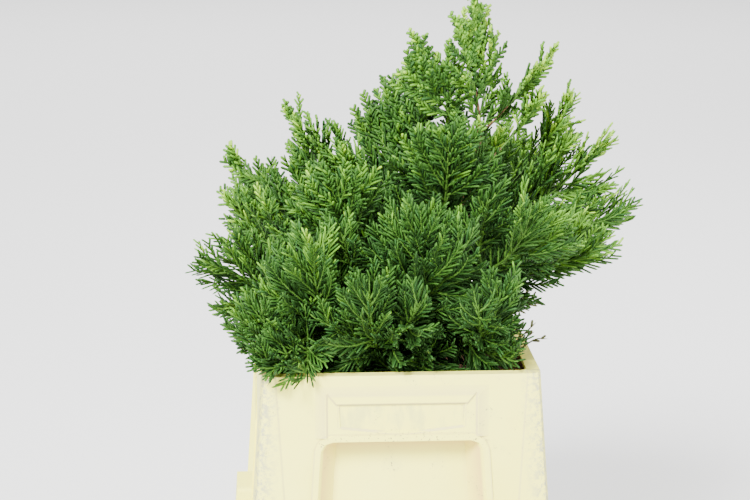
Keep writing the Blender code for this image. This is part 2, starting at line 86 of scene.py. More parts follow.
LIMBS = (
    ("top_left", (0.026, -0.014, 0.632), 0.520, "upright", 0.029, 2201, 1.00),
    ("top_right", (0.163, 0.020, 0.617), 0.532, "spreading", 0.025, 3302, 0.88),
    ("top_side", (0.150, 0.000, 0.572), 0.492, "spreading", 0.029, 2803, 0.76),
    ("centre_high", (0.030, 0.066, 0.604), 0.440, "upright", 0.036, 304, 1.00),
    ("centre_front", (0.050, -0.085, 0.548), 0.428, "upright", 0.044, 2705, 1.00),
    ("right_high", (0.184, 0.048, 0.566), 0.434, "upright", 0.036, 3506, 1.00),
    ("right_upper", (0.213, 0.012, 0.532), 0.414, "upright", 0.034, 2707, 1.00),
    ("centre_back", (0.004, 0.104, 0.566), 0.408, "upright", 0.046, 3108, 1.00),
    ("left_crest", (-0.052, 0.030, 0.540), 0.400, "upright", 0.036, 3109, 0.76),
    ("back_right", (0.140, 0.155, 0.505), 0.394, "upright", 0.052, 4110, 1.00),
    ("left_front", (-0.056, -0.084, 0.516), 0.392, "rising", 0.044, 2311, 1.00),
    ("right_spread", (0.238, -0.024, 0.468), 0.386, "spreading", 0.045, 2512, 0.76),
    ("front_right", (0.122, -0.135, 0.492), 0.382, "rising", 0.044, 3813, 1.00),
    ("left_high", (-0.102, 0.060, 0.554), 0.386, "leaning", 0.039, 4214, 0.88),
    ("front_centre", (0.018, -0.160, 0.496), 0.372, "low", 0.044, 2315, 1.00),
    ("left_upper", (-0.160, 0.078, 0.505), 0.366, "leaning", 0.037, 2816, 0.76),
    ("right_front", (0.202, -0.092, 0.440), 0.368, "spreading", 0.040, 3217, 1.00),
    ("back_left", (-0.140, 0.160, 0.455), 0.358, "upright", 0.054, 4218, 1.00),
    ("front_left", (-0.082, -0.160, 0.472), 0.356, "low", 0.044, 2119, 0.88),
    ("left_middle", (-0.156, -0.004, 0.480), 0.352, "upright", 0.040, 3920, 0.88),
    ("front_low_right", (0.090, -0.176, 0.432), 0.350, "low", 0.042, 2221, 0.76),
    ("back_low", (0.030, 0.215, 0.440), 0.345, "low", 0.056, 2622, 1.00),
    ("left_spread", (-0.186, -0.092, 0.432), 0.345, "spreading", 0.044, 3623, 0.88),
    ("front_low", (-0.030, -0.180, 0.436), 0.343, "low", 0.042, 3224, 1.00),
    ("right_low", (0.150, 0.050, 0.352), 0.339, "arching", 0.032, 3225, 1.00),
    ("front_corner", (-0.123, -0.196, 0.336), 0.336, "drooping", 0.032, 2126, 0.88),
    ("front_low_left", (-0.128, -0.152, 0.410), 0.332, "low", 0.040, 3527, 1.00),
    ("left_low", (-0.170, -0.015, 0.366), 0.331, "arching", 0.036, 2828, 0.76),
)
LEADER_TIP = (0.082, -0.002, 0.676)
LEADER_RADIUS = 0.036
LEADER_FULLNESS = 1.00
LEADER_SEED = 2500
LEADER_FOLIAGE_FOOT = 0.515
SLIM_HEIGHT = 0.555
FOLIAGE_LENGTH = 4.2
CURVE_SAMPLES = 15
UP = Vector((0.0, 0.0, 1.0))
CROWN_HEART = Vector((0.02, 0.01, 0.38))
GOLDEN_ANGLE = math.radians(137.5)

# Camera, fitted to the container's edges in the photograph.
CAMERA_PLACE = (-0.136, -2.105, 0.875)
CAMERA_YAW = math.radians(-3.31)
CAMERA_PITCH = math.radians(12.22)
CAMERA_LENS = 105.6


# Materials


def new_material(name):
    material = bpy.data.materials.new(name)
    material.use_nodes = True
    nodes = material.node_tree.nodes
    return material, nodes, material.node_tree.links, nodes["Principled BSDF"]


def plug(links, value, socket):
    """Sets a socket, by a link or by a plain number, vector or colour."""
    if isinstance(value, bpy.types.NodeSocket):
        links.new(value, socket)
    elif isinstance(value, tuple) and socket.type == "RGBA":
        socket.default_value = (*value, 1.0)
    else:
        socket.default_value = value


def calculate(nodes, links, operation, *values):
    node = nodes.new("ShaderNodeMath")
    node.operation = operation
    for value, socket in zip(values, node.inputs):
        plug(links, value, socket)
    return node.outputs[0]


def mix_colours(nodes, links, factor, first, second):
    node = nodes.new("ShaderNodeMix")
    node.data_type = "RGBA"
    plug(links, factor, node.inputs["Factor"])
    colours = [socket for socket in node.inputs if socket.type == "RGBA"]
    for socket, value in zip(colours, (first, second)):
        plug(links, value, socket)
    return [socket for socket in node.outputs if socket.type == "RGBA"][0]


def new_group(name, inputs, outputs):
    """A node group with named sockets, and its nodes for what goes in and what comes out."""
    group = bpy.data.node_groups.new(name, "ShaderNodeTree")
    for label, kind, value in inputs:
        socket = group.interface.new_socket(label, in_out="INPUT", socket_type=kind)
        if value is not None:
            socket.default_value = value
    for label in outputs:
        group.interface.new_socket(label, in_out="OUTPUT", socket_type="NodeSocketFloat")
    return group, group.nodes.new("NodeGroupInput"), group.nodes.new("NodeGroupOutput")


def patches_group():
    """Cloudy patches: a mask that is 0 below Low and 1 above High, and the plain pattern."""
    number = "NodeSocketFloat"
    inputs = (
        ("Place", "NodeSocketVector", None),
        ("Scale", number, 100.0),
        ("Detail", number, 3.0),
        ("Roughness", number, 0.55),
        ("Low", number, 0.35),
        ("High", number, 0.65),
    )
    group, given, made = new_group("patches", inputs, ("Mask", "Pattern"))
    clouds = group.nodes.new("ShaderNodeTexNoise")
    for label, socket in (("Place", "Vector"), ("Scale", "Scale"), ("Detail", "Detail"),
                          ("Roughness", "Roughness")):
        group.links.new(given.outputs[label], clouds.inputs[socket])
    span = group.nodes.new("ShaderNodeMapRange")
    group.links.new(clouds.outputs["Fac"], span.inputs["Value"])
    group.links.new(given.outputs["Low"], span.inputs["From Min"])
    group.links.new(given.outputs["High"], span.inputs["From Max"])
    group.links.new(span.outputs["Result"], made.inputs["Mask"])
    group.links.new(clouds.outputs["Fac"], made.inputs["Pattern"])
    return group


def patches(nodes, links, place, scale, low, high, detail=3.0, roughness=0.55):
    """A patches group placed in a material: its mask and its pattern."""
    node = nodes.new("ShaderNodeGroup")
    node.node_tree = bpy.data.node_groups.get("patches") or patches_group()
    values = (("Place", place), ("Scale", scale), ("Detail", detail), ("Roughness", roughness),
              ("Low", low), ("High", high))
    for label, value in values:
        plug(links, value, node.inputs[label])
    return node.outputs["Mask"], node.outputs["Pattern"]


def bump(nodes, links, height, strength, distance, shader):
    node = nodes.new("ShaderNodeBump")
    node.inputs["Strength"].default_value = strength
    node.inputs["Distance"].default_value = distance
    links.new(height, node.inputs["Height"])
    links.new(node.outputs["Normal"], shader.inputs["Normal"])


def object_place(nodes):
    return nodes.new("ShaderNodeTexCoord").outputs["Object"]


def foliage_material(name, light, dark):
    """Scale leaves: soft patches of two greens, paler flecks, and a fine scaly relief."""
    material, nodes, links, shader = new_material(name)
    place = object_place(nodes)
    broad, _ = patches(nodes, links, place, 170.0, 0.36, 0.62)
    flecks, scales = patches(nodes, links, place, 900.0, 0.25, 0.95, 2.0)
    colour = mix_colours(nodes, links, broad, dark, light)
    colour = mix_colours(nodes, links, flecks, colour, tuple(min(1.0, c * 1.5) for c in light))
    links.new(colour, shader.inputs["Base Color"])
    bump(nodes, links, scales, 0.5, 0.0005, shader)
    shader.inputs["Roughness"].default_value = 0.58
    shader.inputs["Specular IOR Level"].default_value = 0.18
    return material


def bark_material():
    """Young red-brown bark with long fibres, and paler flakes where it peels."""
    material, nodes, links, shader = new_material("young_bark")
    stretch = nodes.new("ShaderNodeMapping")
    stretch.inputs["Scale"].default_value = (1.0, 1.0, 0.22)
    links.new(object_place(nodes), stretch.inputs["Vector"])
    place = stretch.outputs["Vector"]
    fibres, relief = patches(nodes, links, place, 600.0, 0.30, 0.70, 4.0, 0.65)
    flakes, _ = patches(nodes, links, place, 210.0, 0.54, 0.66)
    colour = mix_colours(nodes, links, fibres, (0.030, 0.015, 0.006), (0.150, 0.075, 0.024))
    colour = mix_colours(nodes, links, flakes, colour, (0.230, 0.130, 0.045))
    links.new(colour, shader.inputs["Base Color"])
    bump(nodes, links, relief, 0.8, 0.001, shader)
    shader.inputs["Roughness"].default_value = 0.85
    return material


def soil_material():
    """Dark peat with red-brown crumbs."""
    material, nodes, links, shader = new_material("potting_soil")
    place = object_place(nodes)
    crumbs, relief = patches(nodes, links, place, 260.0, 0.30, 0.72, 5.0, 0.7)
    fibres, _ = patches(nodes, links, place, 90.0, 0.52, 0.66)
    colour = mix_colours(nodes, links, crumbs, (0.035, 0.018, 0.009), (0.220, 0.105, 0.045))
    colour = mix_colours(nodes, links, fibres, colour, (0.340, 0.150, 0.060))
    links.new(colour, shader.inputs["Base Color"])
    bump(nodes, links, relief, 0.9, 0.002, shader)
    shader.inputs["Roughness"].default_value = 0.95
    return material


def corner_mask(nodes, links, place, start, end):
    """1 at the container's upright edges, falling to 0 further in, as the walls flare."""
    split = nodes.new("ShaderNodeSeparateXYZ")
    links.new(place, split.inputs["Vector"])
    flare = calculate(nodes, links, "MULTIPLY_ADD", split.outputs["Z"], -FLARE, HEIGHT * FLARE)
    masks = []
    for axis, half in (("X", TOP_HALF_WIDTH), ("Y", TOP_HALF_DEPTH)):
        reach = calculate(nodes, links, "ABSOLUTE", split.outputs[axis])
        inset = calculate(nodes, links, "SUBTRACT", calculate(nodes, links, "ADD", flare, half), reach)
        span = nodes.new("ShaderNodeMapRange")
        links.new(inset, span.inputs["Value"])
        span.inputs["From Min"].default_value = end
        span.inputs["From Max"].default_value = start
        masks.append(span.outputs["Result"])
    return calculate(nodes, links, "MULTIPLY", *masks)


def corner_crease(nodes, links, place):
    """0 on the flat of each wall and 1 on the corner columns, which widen towards the foot."""
    split = nodes.new("ShaderNodeSeparateXYZ")
    links.new(place, split.inputs["Vector"])
    widening = calculate(nodes, links, "MULTIPLY_ADD", split.outputs["Z"], -CREASE_SLOPE,
                         HEIGHT * CREASE_SLOPE + CREASE_INSET)
    sides = []
    for axis, half in (("X", TOP_HALF_WIDTH), ("Y", TOP_HALF_DEPTH)):
        reach = calculate(nodes, links, "ABSOLUTE", split.outputs[axis])
        beyond = calculate(nodes, links, "ADD", reach, widening)
        span = nodes.new("ShaderNodeMapRange")
        links.new(beyond, span.inputs["Value"])
        span.inputs["From Min"].default_value = half - CREASE_WIDTH
        span.inputs["From Max"].default_value = half + CREASE_WIDTH
        sides.append(span.outputs["Result"])
    return calculate(nodes, links, "MULTIPLY", *sides)


def band(nodes, links, value, middle, width):
    """1 where a value is at the middle of a band, falling to 0 at its edges."""
    away = calculate(nodes, links, "ABSOLUTE", calculate(nodes, links, "SUBTRACT", value, middle))
    return calculate(nodes, links, "SUBTRACT", 1.0, calculate(nodes, links, "DIVIDE", away, width))


def span(nodes, links, value, start, end):
    """0 before the start and 1 after the end, and evenly between."""
    node = nodes.new("ShaderNodeMapRange")
    links.new(value, node.inputs["Value"])
    node.inputs["From Min"].default_value = start
    node.inputs["From Max"].default_value = end
    return node.outputs["Result"]


def panel_edge(nodes, links, place):
    """How far a place is outside the sunk panel's outline in the front and back walls."""
    split = nodes.new("ShaderNodeSeparateXYZ")
    links.new(place, split.inputs["Vector"])
    drop = calculate(nodes, links, "SUBTRACT", HEIGHT, split.outputs["Z"])
    across = calculate(nodes, links, "ABSOLUTE", split.outputs["X"])
    half = calculate(nodes, links, "MULTIPLY_ADD", drop, PANEL_SPREAD,
                     PANEL_HALF_WIDTH - PANEL_TOP * PANEL_SPREAD - PANEL_CORNER)
    beside = calculate(nodes, links, "SUBTRACT", across, half)
    above = calculate(nodes, links, "SUBTRACT", PANEL_TOP + PANEL_CORNER, drop)
    outer = []
    for value in (beside, above):
        value = calculate(nodes, links, "MAXIMUM", value, 0.0)
        outer.append(calculate(nodes, links, "MULTIPLY", value, value))
    round_corner = calculate(nodes, links, "SQRT", calculate(nodes, links, "ADD", *outer))
    inner = calculate(nodes, links, "MINIMUM", calculate(nodes, links, "MAXIMUM", beside, above), 0.0)
    edge = calculate(nodes, links, "SUBTRACT", calculate(nodes, links, "ADD", round_corner, inner),
                     PANEL_CORNER)
    wall = calculate(nodes, links, "MULTIPLY_ADD", drop, FLARE, TOP_HALF_DEPTH)
    depth = calculate(nodes, links, "SUBTRACT", wall, calculate(nodes, links, "ABSOLUTE", split.outputs["Y"]))
    return edge, depth, drop


def plastic_material():
    """Cream polypropylene, used: cloudy tone, dull smears, grey rubs at the corners, and painted shade inside
    the recess, along the corner creases, just outside the recess's border and on the label panels' slopes.
    """
    material, nodes, links, shader = new_material("cream_plastic")
    place = object_place(nodes)
    clouds, _ = patches(nodes, links, place, 9.0, 0.30, 0.70, 4.0)
    smears, _ = patches(nodes, links, place, 38.0, 0.56, 0.74, 5.0, 0.65)
    rubs, _ = patches(nodes, links, place, 160.0, 0.46, 0.58, 6.0, 0.75)
    specks, _ = patches(nodes, links, place, 420.0, 0.63, 0.68, 1.0)
    colour = mix_colours(nodes, links, clouds, (0.985, 0.93, 0.14), (0.995, 0.965, 0.20))
    colour = mix_colours(nodes, links, calculate(nodes, links, "MULTIPLY", smears, 0.5), colour,
                         (0.78, 0.74, 0.20))
    edge, depth, drop = panel_edge(nodes, links, place)
    on_face = span(nodes, links, depth, 0.012, 0.008)
    # Painted shade: the recess's walls darken towards its border, where less light reaches them.
    sunk = calculate(nodes, links, "MULTIPLY", span(nodes, links, depth, 0.001, 0.004),
                     span(nodes, links, edge, -0.019, -0.001))
    sunk = calculate(nodes, links, "MULTIPLY", sunk, span(nodes, links, edge, 0.004, 0.001))
    colour = mix_colours(nodes, links, calculate(nodes, links, "MULTIPLY", sunk, 0.85), colour,
                         (0.70, 0.46, 0.17))
    # Painted shade: darker lines along the corner creases, just outside the recess's border, and on the label
    # panels' slopes (their crease attribute).
    creases = corner_crease(nodes, links, place)
    corner_line = calculate(nodes, links, "MULTIPLY", creases,
                            calculate(nodes, links, "SUBTRACT", 1.0, creases))
    foot = calculate(nodes, links, "MAXIMUM", band(nodes, links, edge, 0.0066, 0.0012), 0.0)
    foot = calculate(nodes, links, "MULTIPLY", foot, on_face)
    moulded = nodes.new("ShaderNodeAttribute")
    moulded.attribute_name = "crease"
    crease_shade = calculate(nodes, links, "ADD", calculate(nodes, links, "MULTIPLY", corner_line, 1.9),
                      calculate(nodes, links, "MULTIPLY", foot, 0.55))
    crease_shade = calculate(nodes, links, "ADD", crease_shade,
                      calculate(nodes, links, "MULTIPLY", moulded.outputs["Fac"], 1.0))
    colour = mix_colours(nodes, links, calculate(nodes, links, "MINIMUM", crease_shade, 0.7), colour,
                         (0.60, 0.50, 0.24))
    stretch = nodes.new("ShaderNodeMapping")
    stretch.inputs["Scale"].default_value = (1.0, 1.0, 0.35)
    links.new(place, stretch.inputs["Vector"])
    smudges, _ = patches(nodes, links, stretch.outputs["Vector"], 90.0, 0.46, 0.62, 4.0, 0.6)
    pocket = nodes.new("ShaderNodeAttribute")
    pocket.attribute_name = "pocket"
    smudges = calculate(nodes, links, "MULTIPLY", smudges, pocket.outputs["Fac"])
    colour = mix_colours(nodes, links, calculate(nodes, links, "MULTIPLY", smudges, 0.60), colour,
                         (0.64, 0.64, 0.20))
    corners = corner_mask(nodes, links, place, 0.002, 0.022)
    worn = calculate(nodes, links, "MULTIPLY", rubs, corners)
    colour = mix_colours(nodes, links, worn, colour, (0.40, 0.40, 0.27))
    ledge = calculate(nodes, links, "MULTIPLY", span(nodes, links, edge, 0.010, 0.003),
                      span(nodes, links, drop, 0.075, 0.062))
    ledge = calculate(nodes, links, "MULTIPLY", calculate(nodes, links, "MULTIPLY", ledge, on_face), 0.8)
    dirty = calculate(nodes, links, "MAXIMUM", smears, ledge)
    specks = calculate(nodes, links, "MULTIPLY", specks, dirty)
    colour = mix_colours(nodes, links, specks, colour, (0.16, 0.14, 0.09))
    rim = calculate(nodes, links, "MULTIPLY", span(nodes, links, drop, 0.0012, 0.0002), 0.22)
    dust, _ = patches(nodes, links, place, 120.0, 0.30, 0.60, 4.0)
    colour = mix_colours(nodes, links, calculate(nodes, links, "MULTIPLY", rim, dust), colour,
                         (0.30, 0.27, 0.24))
    links.new(colour, shader.inputs["Base Color"])
    _, skin = patches(nodes, links, place, 700.0, 0.3, 0.7, 2.0)
    relief = calculate(nodes, links, "MULTIPLY_ADD", skin, 0.08, creases)
    bump(nodes, links, relief, 1.0, 0.0006, shader)
    gloss = calculate(nodes, links, "MULTIPLY_ADD", smears, 0.20, 0.42)
    links.new(gloss, shader.inputs["Roughness"])
    return material


def plain_material(name, colour, roughness):
    material, nodes, links, shader = new_material(name)
    shader.inputs["Base Color"].default_value = (*colour, 1.0)
    shader.inputs["Roughness"].default_value = roughness
    return material


# Limbs, as the solids have them


class Line:
    """A smooth centre line with a radius at each sample."""

    def __init__(self, points, radii):
        self.points = [Vector(point) for point in points]
        self.radii = list(radii)
        steps = [(b - a).length for a, b in zip(self.points, self.points[1:])]
        self.lengths = [sum(steps[:i]) for i in range(len(self.points))]
        self.length = self.lengths[-1]

    def _place(self, distance):
        distance = min(max(distance, 0.0), self.length)
        for i in range(len(self.points) - 1):
            if distance <= self.lengths[i + 1]:
                span = self.lengths[i + 1] - self.lengths[i]
                return i, (distance - self.lengths[i]) / span
        return len(self.points) - 2, 1.0

    def at(self, distance):
        i, share = self._place(distance)
        return self.points[i].lerp(self.points[i + 1], share)

    def radius(self, distance):
        i, share = self._place(distance)
        return self.radii[i] * (1 - share) + self.radii[i + 1] * share

    def direction(self, distance):
        i, _ = self._place(distance)
        return (self.points[i + 1] - self.points[i]).normalized()

    def part(self, start, end, count):
        stops = [start + (end - start) * i / (count - 1) for i in range(count)]
        return Line([self.at(s) for s in stops], [self.radius(s) for s in stops])


def smooth_points(points, per_span):
    points = [Vector(point) for point in points]
    ends = [points[0] * 2 - points[1], *points, points[-1] * 2 - points[-2]]
    made = []
    for a, b, c, d in zip(ends, ends[1:], ends[2:], ends[3:]):
        for step in range(per_span):
            t = step / per_span
            made.append(
                0.5 * (2 * b + (c - a) * t + (2 * a - 5 * b + 4 * c - d) * t * t
                       + (3 * b - a - 3 * c + d) * t * t * t)
            )
    return [*made, points[-1]]


def trunk_line():
    points = [Vector(TRUNK_LINE[0]), *smooth_points(TRUNK_LINE[1:], 3)]
    rise = points[-1].z - points[0].z
    radii = []
    for point in points:
        height = point.z - points[0].z
        taper = TRUNK_FOOT_RADIUS + (TRUNK_TIP_RADIUS - TRUNK_FOOT_RADIUS) * (height / rise) ** 0.75
        radii.append(taper * (1 + ROOT_FLARE * math.exp(-height / ROOT_FLARE_HEIGHT)))
    return Line(points, radii)


def fork_distance(trunk, height):
    low, high = 0.0, trunk.length
    for _ in range(30):
        middle = (low + high) / 2
        if trunk.at(middle).z < height:
            low = middle
        else:
            high = middle
    return low


def limb_line(trunk, tip, fork_height, habit):
    distance = fork_distance(trunk, fork_height)
    start, tip = trunk.at(distance), Vector(tip)
    out_share, rise_share = HABITS[habit]
    reach, rise = tip - start, tip.z - start.z
    bend = start + Vector((reach.x * out_share, reach.y * out_share, rise * rise_share))
    if habit == "drooping":
        bend.z = start.z + DROOP_RISE
    foot = min(trunk.radius(distance) * BOUGH_FOOT_SHARE, BOUGH_FOOT_LIMIT)
    points, radii = [], []
    for i in range(CURVE_SAMPLES):
        t = i / (CURVE_SAMPLES - 1)
        points.append(start * (1 - t) ** 2 + bend * 2 * t * (1 - t) + tip * t * t)
        radii.append(foot + (BOUGH_TIP_RADIUS - foot) * min(1.0, t * 1.35))
    return Line(points, radii)


# Fine sprays


class Mass:
    """A mass of foliage: the line its sprays stand on, and the stem drawn inside it."""

    def __init__(self, name, line, stem, radius, seed, fullness, kind, hangs=False):
        self.name = name
        self.line = line
        self.stem = stem
        self.radius = radius
        self.size = radius * fullness
        self.reach = radius * fullness * REACH
        self.kind = kind
        self.hangs = hangs
        self.random = random.Random(seed)
        self.samples = np.array([line.at(line.length * i / 24) for i in range(25)])
        level = abs((line.points[-1] - line.points[0]).normalized().y)
        self.frontal = min(1.0, max(0.0, (level - 0.35) / 0.3))
        self.taper = 0.50 - 0.12 * self.frontal


class Growth:
    """Twigs of one colour, in parts that each stay under a piece's limit of triangles.

    A part lists for each kind of twig, by its rings and sides, their centres, radii and normals.
    """

    def __init__(self):
        self.parts = []
        self.triangles = TRIANGLE_LIMIT

    def add(self, centres, radii, normal, sides):
        count, rings = radii.shape
        if not count:
            return
        grown = count * ((rings - 2) * sides * 2 + sides * 2 - 2)
        if self.triangles + grown > TRIANGLE_LIMIT:
            self.parts.append({})
            self.triangles = 0
        self.triangles += grown
        normal = np.broadcast_to(np.asarray(normal), (count, 3))
        self.parts[-1].setdefault((rings, sides), []).append((centres, radii, normal))


FLATNESS = 0.85
TRIANGLE_LIMIT = 190000


def growth_mesh(name, part):
    """All twigs of a part as one mesh. A twig has rings of three or four sides and ends in a point."""
    vertices, loops, counts, base = [], [], [], 0
    for (rings, sides), batch in sorted(part.items()):
        centres, radii, normal = (np.concatenate([item[i] for item in batch]) for i in range(3))
        total = len(centres)
        along = centres[:, -1] - centres[:, 0]
        along /= np.linalg.norm(along, axis=1, keepdims=True)
        side = np.cross(normal, along)
        side /= np.linalg.norm(side, axis=1, keepdims=True)
        face = np.cross(along, side)
        ring = []
        for k in range(sides):
            turn = 2 * math.pi * k / sides
            spoke = side * math.cos(turn) + face * (math.sin(turn) * FLATNESS)
            ring.append(centres[:, :-1] + spoke[:, None, :] * radii[:, :-1, None])
        points = np.stack(ring, axis=2).reshape(total, -1, 3)
        points = np.concatenate([points, centres[:, -1:]], axis=1)
        per = points.shape[1]
        faces = [tuple(reversed(range(sides)))]
        for r in range(rings - 2):
            for k in range(sides):
                a, b = r * sides + k, r * sides + (k + 1) % sides
                faces.append((a, b, b + sides, a + sides))
        last = (rings - 2) * sides
        faces += [(last + k, last + (k + 1) % sides, per - 1) for k in range(sides)]
        pattern = np.array([i for face_loop in faces for i in face_loop])
        offsets = base + np.arange(total)[:, None] * per
        loops.append((offsets + pattern[None, :]).ravel())
        counts.append(np.tile([len(face_loop) for face_loop in faces], total))
        vertices.append(points.reshape(-1, 3))
        base += total * per
    vertices, loops, counts = np.concatenate(vertices), np.concatenate(loops), np.concatenate(counts)
    starts = np.concatenate([[0], np.cumsum(counts)[:-1]])
    mesh = bpy.data.meshes.new(name)
    mesh.vertices.add(len(vertices))
    mesh.vertices.foreach_set("co", vertices.astype(np.float32).ravel())
    mesh.loops.add(len(loops))
    mesh.loops.foreach_set("vertex_index", loops.astype(np.int32))
    mesh.polygons.add(len(starts))
    mesh.polygons.foreach_set("loop_start", starts.astype(np.int32))
    mesh.update(calc_edges=True)
    mesh.validate()
    mesh.shade_smooth()
    return mesh


def nearest(points, samples):
    """How far each point is from its nearest sample, and which share of the line that sample is at."""
    gaps = ((points[:, None, :] - samples[None, :, :]) ** 2).sum(axis=2)
    return np.sqrt(gaps.min(axis=1)), gaps.argmin(axis=1) / (len(samples) - 1)


class Space:
    """Tells which points belong to a mass and keep clear of limbs and the container."""

    def __init__(self, masses, limbs):
        self.masses = masses
        self.centres = np.concatenate([centres for centres, _ in limbs])
        self.radii = np.concatenate([radii for _, radii in limbs])

    def allows(self, points, mass, reach):
        own, share = nearest(points, mass.samples)
        good = own < reach * (1.0 - mass.taper * share ** 2)
        own = own / mass.radius
        for other in self.masses:
            if other is not mass:
                away = nearest(points, other.samples)[0] / other.radius
                good &= (away - own) * min(mass.radius, other.radius) > SPACE_OVERLAP
        gaps = np.sqrt(((points[:, None, :] - self.centres[None, :, :]) ** 2).sum(axis=2))
        good &= (gaps - self.radii[None, :]).min(axis=1) > LIMB_MARGIN
        return good & clear_of_container(points, mass.hangs)


SPACE_OVERLAP = -0.044
LIMB_MARGIN = 0.0012
CONTAINER_MARGIN = 0.0015
RIM_CLEARANCE = 0.003
OPEN_CORNER = (0.108, 0.352)


def clear_of_container(points, hangs):
    """Which points are over the container's rim, over its soil, or, for a mass that hangs, outside."""
    x, y, z = np.abs(points[:, 0]), np.abs(points[:, 1]), points[:, 2]
    drop = np.maximum(HEIGHT - z, 0.0)
    margin = CONTAINER_MARGIN
    inside = (x < TOP_HALF_WIDTH - RIM_WIDTH - margin) & (y < TOP_HALF_DEPTH - RIM_WIDTH - margin)
    outside = (x > TOP_HALF_WIDTH + FLARE * drop + margin)
    outside |= y > TOP_HALF_DEPTH + FLARE * drop + margin
    over_soil = inside & (z > SOIL_TOP + margin)
    over_rim = z > HEIGHT + (margin if hangs else RIM_CLEARANCE)
    open_corner = (points[:, 0] > OPEN_CORNER[0]) & (points[:, 1] < 0.0) & (z < OPEN_CORNER[1])
    over_rim &= ~open_corner
    over_soil &= ~open_corner
    return over_rim | over_soil | (outside & hangs)


def path_point(path, share):
    """The point and heading at a share of a path of equal steps."""
    span = min(int(share * (len(path) - 1)), len(path) - 2)
    inner = share * (len(path) - 1) - span
    a, b = path[span], path[span + 1]
    point = tuple(a[i] + (b[i] - a[i]) * inner for i in range(3))
    return point, math.atan2(b[1] - a[1], b[0] - a[0])


def bent_path(start, heading, bend, length, steps, rise=0.0):
    """A path of equal steps that turns by bend from its start to its end, and rises off the plane."""
    path = [start]
    for step in range(steps):
        turn = heading + bend * (step + 0.5) / steps
        last, pace = path[-1], length / steps
        path.append(
            (last[0] + math.cos(turn) * pace, last[1] + math.sin(turn) * pace, last[2] + rise * pace)
        )
    return path


# What a spray looks like where it is knobbly (0) and where it is slender (1).
SHOOT_GAP = (0.0027, 0.0033)
SHOOT_LEAN = (math.radians(40), math.radians(20))
SHOOT_LENGTH = (0.0060, 0.0210)
SHOOT_SHORTEST = (0.0036, 0.0090)
SHOOT_THICK = (0.00185, 0.00102)
SHOOT_SHOULDER = 0.86
TWIG_EVERY = (4, 3)
TWIG_LEAN = (math.radians(40), math.radians(26))
TWIG_REACH = (0.44, 0.58)
RIB_THICK = 0.0014
RIB_STEPS = 8
RISE = 0.20
UPSWEEP = 0.65


class FlatSpray:
    """A spray in its own plane: a rib, its twigs, and the shoots on both, each a path with radii.

    slender runs from 0, knobbly with short thick shoots, to 1, with long thin ones that lie
    nearly along what they stand on. A shoot's parent is its twig's number, or -1 for the rib.
    """

    def __init__(self, chance, length, slender, sweep):
        self.chance = chance
        self.slender = slender
        self.length = length
        bend = sweep + chance.uniform(-0.22, 0.22)
        self.rib = bent_path((0.0, 0.0, 0.0), -bend * 0.4, bend, length, RIB_STEPS)
        self.twigs, self.twig_shares = [], []
        self.shoots, self.parents, self.shoot_shares = [], [], []
        self.every = round(self.blend(TWIG_EVERY))
        self.grow_rib()

    def blend(self, pair):
        return pair[0] + (pair[1] - pair[0]) * self.slender

    def grow_rib(self):
        chance, length = self.chance, self.length
        count = max(int(length * 0.97 / self.blend(SHOOT_GAP)), 4)
        for k in range(count):
            share = 0.04 + 0.95 * (k + 0.5 + chance.uniform(-0.25, 0.25)) / count
            side = 1 if k % 2 else -1
            outline = min(1.0, 0.40 + 2.4 * share)
            reach = length * (1.0 - share) * self.blend(TWIG_REACH) * outline * chance.uniform(0.75, 1.15)
            point, heading = path_point(self.rib, share)
            if (k // 2) % self.every == 0 and reach > self.blend(SHOOT_LENGTH) * 1.3:
                self.grow_twig(point, heading, side, min(reach, 0.054), share)
            else:
                self.grow_shoot(point, heading, side, length * (1.0 - share), -1, share)

    def grow_twig(self, point, heading, side, reach, share):
        chance = self.chance
        lean = self.blend(TWIG_LEAN) * (1.10 - 0.25 * share) * chance.uniform(0.85, 1.15)
        rise = chance.uniform(-RISE, RISE)
        path = bent_path(point, heading + side * lean, -side * lean * 0.45, reach, 3, rise)
        self.twigs.append(path)
        self.twig_shares.append(share)
        count = max(int(reach * 0.92 / self.blend(SHOOT_GAP) + chance.random() * 0.6), 2)
        for j in range(count):
            at = 0.10 + 0.88 * (j + chance.uniform(0.3, 0.7)) / count
            foot, along = path_point(path, at)
            turn = 1 if j % 2 else -1
            self.grow_shoot(foot, along, turn, reach * (1.0 - at), len(self.twigs) - 1, share + 0.3 * at)

    def grow_shoot(self, foot, heading, side, room, parent, share):
        chance = self.chance
        size = min(self.blend(SHOOT_SHORTEST) + room * 0.36, self.blend(SHOOT_LENGTH))
        size *= chance.uniform(0.78, 1.15)
        turn = side * self.blend(SHOOT_LEAN) * chance.uniform(0.8, 1.2)
        rise = chance.uniform(-RISE, RISE)
        end = bent_path(foot, heading + turn, 0.0, size, 1, rise)[-1]
        middle = tuple(foot[i] + (end[i] - foot[i]) * SHOOT_SHOULDER for i in range(3))
        self.shoots.append((foot, middle, end))
        self.parents.append(parent)
        self.shoot_shares.append(share)


class Stand:
    """Where a spray stands, and how its plane is curled along, cupped across and twisted."""

    def __init__(self, foot, direction, normal, curl, cup, twist):
        self.foot, self.direction, self.normal = np.array(foot), np.array(direction), np.array(normal)
        self.lateral = np.cross(self.normal, self.direction)
        self.curl, self.cup, self.twist = curl, cup, twist

    def place(self, flat):
        flat = np.array(flat)
        u, v, w = flat[..., 0:1], flat[..., 1:2], flat[..., 2:3]
        lift = w + self.curl * u * u + self.cup * v * v + self.twist * u * v
        return self.foot + self.direction * u + self.lateral * v + self.normal * lift


def fitting_length(stand, length, mass, space):
    """The spray's length up to the first point of its rib that would leave the mass's space."""
    shares = [0.2 + 0.1 * i for i in range(9)]
    points = stand.place([(length * share, 0.0, 0.0) for share in shares])
    good = space.allows(points, mass, mass.reach)
    for share, fits in zip(shares, good):
        if not fits:
            return length * (share - 0.1)
    return length


